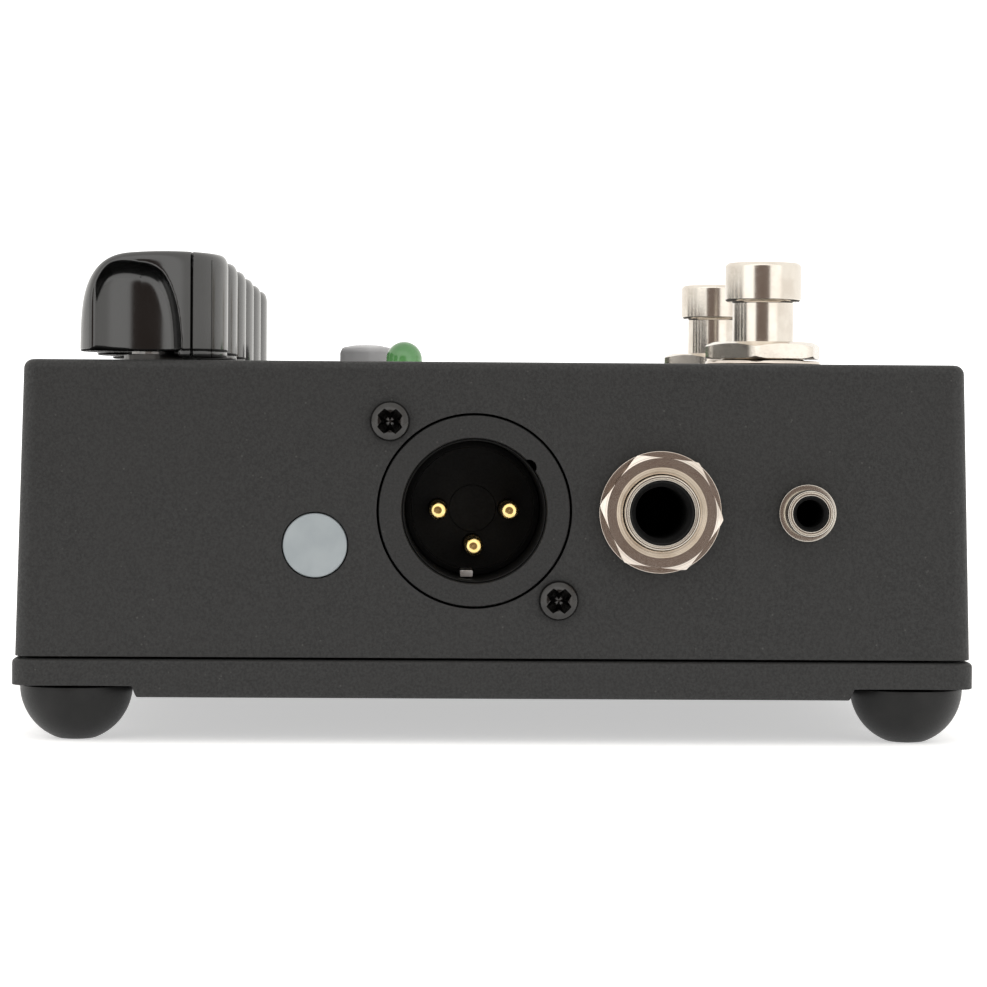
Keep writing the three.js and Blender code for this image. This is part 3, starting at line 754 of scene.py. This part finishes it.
def threaded(radius, low, high, pitch=0.8, depth=0.22):
    """Corners of a threaded side, from low to high."""
    corners = []
    count = int((high - low) / pitch)
    for i in range(count):
        foot = low + i * pitch
        corners += [(radius, foot + 0.12 * pitch), (radius - depth, foot + 0.5 * pitch)]
        corners += [(radius - depth, foot + 0.6 * pitch), (radius, foot + 0.98 * pitch)]
    return corners


def quarter_inch_jack(name, place, turn):
    """Front of a quarter-inch jack: a threaded bush through the wall, washer and hexagon nut."""
    bush, mouth, bore, nose = JACK_BUSH, 4.15, 3.35, 4.5
    profile = [(0, -29), (8, -29), (8, -2.8), (bush - 0.1, -2.8)]
    profile += threaded(bush, -2.5, nose - 0.9)
    profile += [(bush, nose - 0.5), (bush - 0.08, nose, 0.1), (bush - 0.35, nose, 0.06)]
    profile += [(bush - 0.4, nose - 0.08), (bush - 0.48, nose, 0.05)]
    profile += [(mouth + 0.12, nose, 0.1), (mouth, nose - 0.3, 0.05), (mouth, -27), (0, -27)]
    made(name + "_bush", turned(profile, 128), BUSH_NICKEL, place, "nickel", [name])
    # painted shade: a black liner inside the bush stands for the shaded metal within
    shade_liner = [(0, -26.9), (mouth - 0.03, -26.9), (mouth - 0.03, nose - 0.45), (mouth - 0.2, nose - 0.5)]
    shade_liner += [(bore + 0.1, nose - 1.6, 0.2), (bore, nose - 2.4), (bore, -26), (0, -26)]
    made(name + "_liner", turned(shade_liner), CAVITY_SHADE_PLASTIC, place, "black_plastic")
    contact = skin([raised(rounded_rectangle(0.28, 2.8, 0.12, 3), z) for z in (-9.5, -5.0)])
    beside_bore = place @ Matrix.Translation((-3.1 * MM, 0.25 * MM, 0))
    made(name + "_contact", contact, ZINC, beside_bore, "nickel")
    washer = [(5.2, 0.3), (7.9, 0.3, 0.05), (8.0, 0.5, 0.05), (8.0, 1.1, 0.08), (5.2, 1.1)]
    ring = turned(washer, 128, closed=True)
    made(name + "_lock_washer", ring, TURNED_NICKEL, place, "nickel", [name + "_washer"])
    cone = (7.14, math.tan(math.radians(30)))
    nut = hexagonal(14.2, 1.4, 3.6, 5.0, cone, cone, turn, mouth=0.9)
    made(name + "_hexagon_nut", nut, TURNED_NICKEL, place, "nickel", [name + "_nut"], crease=24)


def headphone_socket():
    place = on_left("headphone_jack")
    nose, bush, mouth, bore = 4.5, 3.05, 2.3, 1.8
    profile = [(0, -16), (5.5, -16), (5.5, -2.8), (2.95, -2.8), (2.95, 0.3), (3.7, 0.3, 0.1)]
    profile += [(3.75, 1.1, 0.08), (bush - 0.1, 1.1)]
    profile += threaded(bush, 1.2, nose - 0.6, pitch=0.5, depth=0.12)
    profile += [(bush, nose - 0.35), (bush - 0.08, nose, 0.1), (bush - 0.28, nose, 0.05)]
    profile += [(bush - 0.33, nose - 0.08), (bush - 0.4, nose, 0.05), (mouth + 0.08, nose, 0.08)]
    profile += [(mouth, nose - 0.3, 0.05), (mouth, -15), (0, -15)]
    made("headphone_socket", turned(profile), BUSH_NICKEL, place, "nickel", ["headphone_jack"])
    # painted shade: a black liner inside the bush stands for the shaded metal within
    shade_liner = [(0, -14.9), (mouth - 0.03, -14.9), (mouth - 0.03, nose - 0.4), (mouth - 0.15, nose - 0.45)]
    shade_liner += [(bore, nose - 1.0, 0.15), (bore, -14), (0, -14)]
    made("headphone_socket_liner", turned(shade_liner, 64), CAVITY_SHADE_PLASTIC, place, "black_plastic")


def xlr_socket():
    place = on_left("xlr_insert")
    outer, cavity = 12.55, 9.5
    profile = [(cavity, -18.5), (outer, -18.5), (outer, -2.8), (outer, -0.35), (outer - 0.1, 0, 0.12)]
    profile += [(cavity + 0.12, 0, 0.1), (cavity, -0.3, 0.1), (cavity, -1.6)]
    key = moved(turned([(0, -6), (1.05, -6), (1.05, 1), (0, 1)], 32), (cavity - 0.4, 0, 0))
    key.transform(Matrix.Rotation(math.radians(39), 4, "Z"))
    ring = turned(profile, 160, closed=True)
    made("xlr_housing", ring, SOCKET_COAT, place, "powder_coat", ["xlr_shell"], cuts=[key], soften=0.06)
    # painted shade: a black sleeve over the cavity wall stands for the shaded metal of the shell
    shade_sleeve = [(cavity - 0.35, -18.4), (cavity - 0.04, -18.4), (cavity - 0.04, -1.5)]
    shade_sleeve += [(cavity - 0.2, -1.4, 0.08), (cavity - 0.35, -1.7)]
    made("xlr_sleeve", turned(shade_sleeve, 128, closed=True), CAVITY_SHADE_PLASTIC, place, "black_plastic")
    block = [(0, -18.5), (cavity - 0.4, -18.5), (cavity - 0.4, -15.2, 0.2), (cavity - 1.2, -15, 0.1)]
    block += [(cavity - 1.3, -15.3), (3.2, -15.3), (3.1, -15.15), (0, -15.15)]
    seats = [(4.7, 0), (-4.7, 0), (0, -4.7)]
    well = [(0, -20), (1.35, -20), (1.35, -14), (0, -14)]
    wells = joined(*[moved(turned(well, 32), (x, y, 0)) for x, y in seats])
    made(
        "xlr_contact_block",
        turned(block),
        CAVITY_SHADE_PLASTIC,
        place,
        "black_plastic",
        ["xlr_insert"],
        cuts=[wells],
    )
    pin = [(0, -22.5), (1.2, -22.5), (1.2, -2.75)]
    for i in range(1, 9):
        angle = i / 9 * math.pi / 2
        pin.append((0.35 + 0.85 * math.cos(angle), -2.75 + 0.75 * math.sin(angle)))
    pin += [(0.35, -2.0), (0, -2.03)]
    for i in (1, 2, 3):
        name = f"xlr_pin_{i}"
        made(name + "_contact", turned(pin, 48), GOLD, on_left(name), "gold", [name])
    tab = skin([raised(rounded_rectangle(1.7, 0.9, 0.15, 3), z) for z in (-14.7, -5.9, -5.7)])
    made(
        "xlr_shell_contact",
        tab,
        ZINC,
        on_left("xlr_ground_contact"),
        "plated_steel",
        ["xlr_ground_contact"],
        soften=0.08,
    )
    head = [(0, -8.7), (1.4, -8.7), (1.4, 0.05), (2.45, 0.05, 0.1), (2.65, 0.35, 0.2), (2.5, 1.05, 0.6)]
    head += [(1.7, 1.6, 1.2), (0, 1.75)]
    turn = Matrix.Rotation(math.radians(44), 4, "Z")
    for i in (1, 2):
        name = f"xlr_screw_{i}"
        made(
            f"xlr_fixing_screw_{i}",
            turned(head),
            GUNMETAL,
            on_left(name),
            "black_steel",
            [name],
            cuts=[moved(moved(cross(1.3, 3.5, 1.6), (0, 0, 1.6)), turn)],
            soften=0.05,
        )


def power_socket():
    place = on_rear("power_jack")
    profile = [(0, -13), (POWER_BARREL, -13), (POWER_BARREL, 0.3), (5.4, 0.3, 0.1), (5.6, 0.45, 0.1)]
    profile += [(5.45, 0.6, 0.1), (2.95, 0.6, 0.15), (2.75, 0.2, 0.1), (2.75, -11), (0, -11)]
    made("power_socket", turned(profile), BLACK_PLASTIC, place, "black_plastic", ["power_jack"])
    pin = [(0, -11), (1.05, -11), (1.05, -1.4), (0.75, -0.9, 0.3), (0, -0.85)]
    made("power_socket_pin", turned(pin, 48), BUSH_NICKEL, place, "nickel")


# ---------------------------------------------------------------- buttons, lamps, footswitches


def buttons():
    radius = radius_of("ground_lift_button")
    flush = [(0, -7), (radius, -7), (radius, 0.0), (radius - 0.12, 0.28, 0.12), (radius - 0.5, 0.3)]
    made(
        "ground_lift_cap",
        turned([*flush, (0, 0.3)]),
        BUTTON_PLASTIC,
        on_left("ground_lift_button"),
        "grey_plastic",
        ["ground_lift_button"],
        body="ground_lift",
    )
    domed = [(0, -3.5), (radius, -3.5), (radius, 3.2), (radius - 0.35, 4.05, 0.6)]
    made(
        "voicing_cap",
        turned([*domed, (radius * 0.5, 4.42, 3.0), (0, 4.5)]),
        CAP_PLASTIC,
        on_top("voicing_button"),
        "grey_plastic",
        ["voicing_button"],
        body="voicing",
    )


def lamps():
    radius = radius_of("led_left", 0)
    shoulder, steps = 0.95, 12
    dome = [(0, -6), (radius, -6), (radius, -0.2), (radius, 0.3)]
    for i in range(1, steps):
        angle = i / steps * math.pi / 2
        dome.append((radius * math.cos(angle), shoulder + radius * math.sin(angle)))
    dome.append((0, shoulder + radius))
    for side in ("left", "right"):
        name = "led_" + side
        lens = green_lens(0.0, shoulder + radius)
        made(name + "_lens", turned(dome), lens, on_top(name), "green_lens", [name])


def footswitch(side):
    name = "footswitch_" + side
    place = on_top(name + "_washer")
    bush = FOOTSWITCH_BUSH
    housing = [(0, -22), (8.5, -22), (8.5, -3), (bush - 0.1, -3)]
    housing += threaded(bush, -2.5, 2.9, pitch=1.0)
    housing += [(bush, 3.3), (bush - 0.2, 3.7, 0.15), (4.55, 3.7, 0.1), (4.45, 3.4), (4.45, -16), (0, -16)]
    made(name + "_housing", turned(housing), BUSH_NICKEL, place, "nickel", [name + "_body"])
    washer = [(6.3, 0.3), (8.05, 0.3, 0.1), (8.2, 0.7, 0.15), (8.0, 1.1, 0.15), (6.3, 1.1)]
    ring = turned(washer, closed=True)
    made(name + "_ring", ring, TURNED_NICKEL, place, "nickel", [name + "_washer"])
    nut = hexagonal(15.4, 1.4, 3.75, bush + 0.25, (7.0, 0.4), (8.3, 0.6), -12.8)
    made(name + "_hexagon", nut, POLISHED_NICKEL, place, "nickel", [name + "_nut"], crease=24)
    stem, cap, top = 4.3, 5.4, 15.0
    button = [(0, -12), (stem, -12, 0.2), (stem, 9.3, 0.15), (stem + 0.15, 9.5), (cap - 0.3, 9.5, 0.15)]
    button += [(cap, 9.75, 0.2), (cap, top - 0.4, 0.45), (cap - 0.45, top, 0.3), (0, top)]
    shape = turned(button, 128)
    made(name + "_button", shape, POLISHED_NICKEL, place, "nickel", [name + "_plunger"], body=name)


# ---------------------------------------------------------------- knobs

KNOB_RADIUS = 9.97
KNOB_LOW = 1.3
KNOB_HIGH = 14.5
CROWN = 0.005  # how fast the top falls away to both sides of its highest line
CROWN_Y = -4
NOSE_REACH = 10.3
NOSE_START = 2.0
NOSE_POWER = 2.8
SCOOP_RADIUS = 10.0  # the finger scoops: upright bowls, one at each side
SCOOP_X = 13.7
SCOOP_Y = 1.0
SCOOP_REACH = 8.0
SCOOP_CEILING = 14.2
SCOOP_POWER = 7
ARCH_TOP = 13.5  # the arch that a scoop's rim follows, seen from the side
ARCH_Y = 1.5
ARCH_HALVES = ((5.8, 2.2), (6.7, 2.8))  # front and rear: half-width, power of its curve
ARCH_BLEND = 2.2  # where the arch meets the bowl, tapering off to the rear
HEEL_START = -3.9  # the step under the skirt runs from here to the front
HEEL_HEIGHT = 0.95
HEEL_BORE = 4.6  # clear of the nut
HUB_RADIUS = 3.2
HUB_DEPTH = 9
GROOVES = ((-5.6, 0.26, 0.5), (-8.1, 0.05, 0.06))  # along Y: place, width, depth
KNOB_CELL = 0.22


def soft_max(a, b, blend):
    """The larger of the two, rounded over where they are within `blend` of each other."""
    overlap = np.maximum(blend - np.abs(a - b), 0) / blend
    return np.maximum(a, b) + overlap * overlap * blend / 4


def knob_field(x, y, z):
    """Rough distance to the knob's skin, below zero inside it."""
    radius = np.hypot(x, y)
    top = KNOB_HIGH - CROWN * (y - CROWN_Y) ** 2 - KNOB_LOW
    reach = NOSE_REACH - 0.025 * z - NOSE_START
    along = np.maximum(y - NOSE_START, 0) / reach
    up = np.maximum(z - KNOB_LOW, 1e-3) / top
    nose = ((along**NOSE_POWER + up**NOSE_POWER) ** (1 / NOSE_POWER) - 1) * reach
    body = soft_max(radius - KNOB_RADIUS, nose, 1.2)
    body = soft_max(body, KNOB_LOW - z, 0.35)
    bowl = np.hypot(np.abs(x) - SCOOP_X, y - SCOOP_Y) - SCOOP_RADIUS
    inward = np.maximum(1 + bowl / SCOOP_REACH, 0)
    rise = np.maximum(z - KNOB_LOW, 0) / (SCOOP_CEILING - KNOB_LOW)
    bowl = ((inward**SCOOP_POWER + rise**SCOOP_POWER) ** (1 / SCOOP_POWER) - 1) * SCOOP_REACH
    half, power = [np.where(y < ARCH_Y, *pair) for pair in zip(*ARCH_HALVES)]
    rise = np.maximum(z - KNOB_LOW, 0) / (ARCH_TOP - KNOB_LOW)
    arch = (((np.abs(y - ARCH_Y) / half) ** power + rise**power) ** (1 / power) - 1) * half
    behind = np.maximum(y - ARCH_Y, 0)
    blend = ARCH_BLEND - 0.28 * np.minimum(behind, 6.5)
    rim = 0.3 + 0.09 * np.minimum(behind, 5)
    body = soft_max(body, -soft_max(bowl, arch, blend), rim)
    heel = soft_max(radius - KNOB_RADIUS + 0.1, np.abs(z - HEEL_HEIGHT) - 0.5, 0.4)
    heel = soft_max(heel, y - HEEL_START, 0.4)
    heel = soft_max(heel, HEEL_BORE - radius, 0.4)
    body = np.minimum(body, heel)
    shallower = np.clip((KNOB_HIGH - 0.2 - z) / 1.2, 0.12, 1)  # over the top
    for place, width, depth in GROOVES:
        slit = soft_max(np.abs(y - place) - width / 2, -(body + depth * shallower), 0.05)
        body = np.maximum(body, -slit)
    hub = np.maximum(radius - HUB_RADIUS, z - KNOB_LOW - HUB_DEPTH)
    return np.maximum(body, -hub)


def slope(field, points, step=0.01):
    """The field's gradient at the points."""
    parts = []
    for axis in range(3):
        shift = np.zeros(3)
        shift[axis] = step
        parts.append((field(*(points + shift).T) - field(*(points - shift).T)) / (2 * step))
    return np.stack(parts, axis=1)


def skin_of(field, axes):
    """The surface where the field is zero: one point in each crossed cell, drawn onto the surface."""
    values = field(*np.meshgrid(*axes, indexing="ij"))
    inside = values < 0
    shape = np.array(values.shape)
    total = np.zeros((*(shape - 1), 3))
    count = np.zeros(shape - 1)
    crossed = []
    for axis in range(3):
        lower = [slice(None)] * 3
        upper = [slice(None)] * 3
        lower[axis], upper[axis] = slice(0, -1), slice(1, None)
        ends = inside[tuple(lower)], inside[tuple(upper)]
        edges = np.argwhere(ends[0] != ends[1])
        near = edges.copy()
        near[:, axis] += 1
        a, b = values[tuple(edges.T)], values[tuple(near.T)]
        points = np.stack([axes[k][edges[:, k]] for k in range(3)], axis=1)
        points[:, axis] += (a / (a - b)) * (axes[axis][near[:, axis]] - axes[axis][edges[:, axis]])
        others = [k for k in range(3) if k != axis]
        corner_cells = []
        for back in ((1, 1), (0, 1), (0, 0), (1, 0)):
            cell = edges.copy()
            cell[:, others[0]] -= back[0]
            cell[:, others[1]] -= back[1]
            corner_cells.append(cell)
            np.add.at(total, tuple(cell.T), points)
            np.add.at(count, tuple(cell.T), 1)
        outward = ends[0][tuple(edges.T)] ^ (axis == 1)
        crossed.append((np.stack(corner_cells, axis=1), outward))
    used = count > 0
    number = np.full(count.shape, -1)
    number[used] = np.arange(used.sum())
    points = total[used] / count[used][:, None]
    for _ in range(4):
        gradient = slope(field, points)
        length = np.maximum((gradient**2).sum(axis=1), 1e-6)
        move = -(field(*points.T) / length)[:, None] * gradient
        points += np.clip(move, -0.1, 0.1)
    faces = []
    for cells, outward in crossed:
        quads = number[tuple(np.moveaxis(cells, 2, 0))]
        quads[~outward] = quads[~outward][:, ::-1]
        faces.append(quads)
    return points, np.concatenate(faces)


def knob_mesh():
    span = np.arange(-10.45, 10.46, KNOB_CELL)
    shares = (-1, -1 / 3, 1 / 3, 1)
    fine = [place + share * width for place, width, _ in GROOVES for share in shares]
    coarse = [v for v in span if all(abs(v - f) > 0.12 for f in fine)]
    axes = [span, np.array(sorted(coarse + fine)), np.arange(0.0, KNOB_HIGH + 0.6, KNOB_CELL)]
    points, quads = skin_of(knob_field, axes)
    mesh = bpy.data.meshes.new("finger_scoop_knob")
    mesh.from_pydata((points * MM).tolist(), [], quads.tolist())
    mesh.validate()
    mesh.shade_smooth()
    normals = slope(knob_field, points)
    normals /= np.maximum(np.linalg.norm(normals, axis=1), 1e-6)[:, None]
    mesh.normals_split_custom_set_from_vertices(normals.tolist())
    mesh.materials.append(KNOB_PLASTIC)
    return mesh


def knobs():
    mesh = knob_mesh()
    for i in KNOBS:
        place = on_top(f"pot_shaft_{i}")
        made(
            f"finger_knob_{i}",
            mesh,
            KNOB_PLASTIC,
            place,
            "knob_plastic",
            [f"knob_{i}"],
            body=f"knob_{i}",
            crease=0,
        )
        can = [(0, -9.5), (5.8, -9.5, 0.5), (5.8, -3.0, 0.5), (CONTROL_BUSH - 0.05, -2.9)]
        can += threaded(CONTROL_BUSH, -2.5, 0.8, pitch=0.75, depth=0.16)
        can += [(CONTROL_BUSH - 0.05, 0.95), (3.05, 1.0), (3.05, -2), (0, -2)]
        made(f"control_bush_{i}", turned(can, 64), BUSH_STEEL, place, "plated_steel", [f"pot_body_{i}"])
        cone = (3.7, 0.2)
        nut = hexagonal(7.4, 0.1, 0.9, CONTROL_BUSH + 0.05, cone, cone, 4 + 11 * i)
        made(f"control_nut_{i}", nut, BUSH_STEEL, place, "plated_steel", crease=24)


# ---------------------------------------------------------------- inner pieces kept from the frame


def inner_pieces():
    kept = {"control_board": BOARD, "main_board": BOARD, "ground_lift_switch": BLACK_PLASTIC}
    kept["voicing_switch"] = BLACK_PLASTIC
    kept.update({f"pot_shaft_{i}": ZINC for i in KNOBS})
    for node, finish in kept.items():
        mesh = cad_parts[node].data
        mesh.materials.clear()
        mesh.materials.append(finish)


# ---------------------------------------------------------------- stage


CAMERA_PLACE = (-0.5073, 0.0109, 0.0416)
CAMERA_YAW, CAMERA_PITCH, CAMERA_ROLL = 0.0247, -0.0201, 0.0068
CAMERA_LENS = 120.7


def swung(first, second, angle):
    """Two directions at a right angle, turned together from the first towards the second."""
    cosine, sine = math.cos(angle), math.sin(angle)
    return cosine * first + sine * second, cosine * second - sine * first


def camera():
    """Looks squarely at the left end face, from half a metre away, a little to one side."""
    forward, right, up = Vector((1, 0, 0)), Vector((0, -1, 0)), Vector((0, 0, 1))
    forward, right = swung(forward, right, CAMERA_YAW)
    forward, up = swung(forward, up, CAMERA_PITCH)
    right, up = swung(right, up, CAMERA_ROLL)
    data = bpy.data.cameras.new("camera")
    data.sensor_width = 36
    data.lens = CAMERA_LENS
    data.clip_start = 0.01
    data.clip_end = 50
    eye = bpy.data.objects.new("camera", data)
    place = Matrix((right, up, -forward)).transposed().to_4x4()
    place.translation = CAMERA_PLACE
    eye.matrix_world = place
    bpy.context.scene.collection.objects.link(eye)
    bpy.context.scene.camera = eye


OPENING_TURN = math.radians(9)  # the tent's opening, from -X towards the rear
FLOOR_SIZE = 6000
FLOOR_FRONT = -190  # its edge before the left end face
SIDES = (1.2, 1.18, 1.14, 1)
RING = (1.62, 1.6, 1.56, 1)  # brighter, around the opening
OPENING = (0.20, 0.155, 0.135, 1)
BACKDROP = (1.6, 1.6, 1.6, 1)  # what the camera sees behind the pedal


def studio():
    """A white light tent with a dim opening towards the left end face, over a pale floor."""
    world = bpy.data.worlds.new("light_tent")
    world.use_nodes = True
    bpy.context.scene.world = world
    tent = Nodes(world.node_tree)
    background = tent.tree.nodes["Background"]
    direction = tent.node("ShaderNodeTexCoord", output="Generated")
    across, along = tent.parts(direction)[:2]
    towards = across * -math.cos(OPENING_TURN) + along * math.sin(OPENING_TURN)
    sky = tent.shade(tent.ease(towards, 0.45, 0.6), SIDES, RING)
    sky = tent.shade(tent.ease(towards, 0.89, 0.935), sky, OPENING)
    from_camera = tent.node("ShaderNodeLightPath", output="Is Camera Ray")
    tent.feed(background.inputs["Color"], tent.shade(from_camera, sky, BACKDROP))
    background.inputs["Strength"].default_value = 1.0

    outline = rounded_rectangle(FLOOR_SIZE, FLOOR_SIZE, 20)
    sheet = skin([raised(outline, z) for z in (-2.0, 0.0)])
    mesh = mesh_of("floor", moved(sheet, (FLOOR_SIZE / 2 + FLOOR_FRONT, 0, 0)))
    floor = bpy.data.objects.new("floor", mesh)
    bpy.context.scene.collection.objects.link(floor)
    paper = Finish("paper", specular_ior_level=0.2, roughness=0.9)
    paper.shader.inputs["Emission Strength"].default_value = 0.5
    paper.shader.inputs["Emission Color"].default_value = (1, 1, 1, 1)
    fibre = paper.grain(paper.spot(), 2.0, detail=2.0)
    pale = paper.shade(fibre, grey(0.80), grey(0.84))
    mesh.materials.append(paper.wear(base_color=pale, normal=paper.bump(fibre, 0.02)))
    bpy.context.scene.view_settings.view_transform = "Standard"
    bpy.context.scene.view_settings.look = "None"


camera()
studio()
case()
bottom_cover()
feet_and_cover_screws()
quarter_inch_jack("line_out_jack", on_left("line_out_jack"), -6.4)
quarter_inch_jack("input_jack", on_right("input_jack"), 21)
headphone_socket()
xlr_socket()
power_socket()
buttons()
lamps()
footswitch("left")
footswitch("right")
knobs()
inner_pieces()
